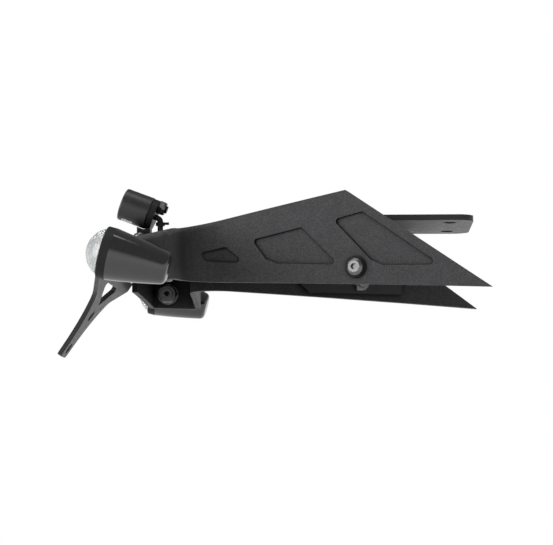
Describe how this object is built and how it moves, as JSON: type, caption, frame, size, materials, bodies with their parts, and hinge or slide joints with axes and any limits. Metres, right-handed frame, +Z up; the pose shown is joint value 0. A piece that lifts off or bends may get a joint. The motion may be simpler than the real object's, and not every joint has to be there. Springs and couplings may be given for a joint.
{
  "type": "motorcycle tail tidy",
  "caption": "Moulded tail tidy: tapered shell with flared arms for indicators, a plate light on top, a winged number-plate bracket behind and a folded bracket that bolts under the tail.",
  "frame": {"origin": "centre of the four mounting holes, on the top face of the mounting bracket", "axes": "+X forward along the motorcycle, +Y to the left across the arms, +Z up out of the mounting face"},
  "size_m": [0.2265, 0.2594, 0.0903],
  "materials": {
    "shell_plastic": "finely grained satin",
    "bracket_steel": "satin powder coat",
    "plate_bracket_steel": "satin powder coat",
    "stainless_steel": "bright",
    "washer_nylon": "satin",
    "insert_brass": "turned",
    "light_barrel": "gloss",
    "light_cap": "satin",
    "light_bracket": "satin",
    "clear_lens": "clear",
    "circuit_board": "lacquered",
    "indicator_housing": "gloss",
    "indicator_bezel": "semi-gloss",
    "indicator_lens": "clear",
    "lamp_resin": "clear resin",
    "soft_rubber": "matt",
    "lead_sleeve": "satin",
    "connector_nylon": "satin"
  },
  "bodies": {
    "root": {"main_shell": "shell_plastic", "mounting_bracket": "bracket_steel", "side_bolts": "stainless_steel", "side_washers": "washer_nylon", "side_nuts": "stainless_steel", "number_plate_bracket": "plate_bracket_steel", "plate_bracket_bolts": "stainless_steel", "plate_bracket_washers": "stainless_steel", "plate_bracket_inserts": "insert_brass", "plate_light_barrel": "light_barrel", "plate_light_lens": "clear_lens", "plate_light_board": "circuit_board", "plate_light_end_cap": "light_cap", "plate_light_bracket": "light_bracket", "plate_light_nut": "stainless_steel", "foot_bolts": "stainless_steel", "foot_nuts": "stainless_steel", "plate_light_lead": "lead_sleeve", "lead_grommet": "soft_rubber", "lead_connector": "connector_nylon", "cable_tie": "connector_nylon", "left_indicator_housing": "indicator_housing", "left_indicator_bezel": "indicator_bezel", "left_indicator_lens": "indicator_lens", "left_indicator_board": "circuit_board", "left_indicator_lamps": "lamp_resin", "left_indicator_gasket": "soft_rubber", "left_indicator_stud": "stainless_steel", "left_indicator_washer": "stainless_steel", "left_indicator_nut": "stainless_steel", "right_indicator_housing": "indicator_housing", "right_indicator_bezel": "indicator_bezel", "right_indicator_lens": "indicator_lens", "right_indicator_board": "circuit_board", "right_indicator_lamps": "lamp_resin", "right_indicator_gasket": "soft_rubber", "right_indicator_stud": "stainless_steel", "right_indicator_washer": "stainless_steel", "right_indicator_nut": "stainless_steel"}
  },
  "joints": []
}
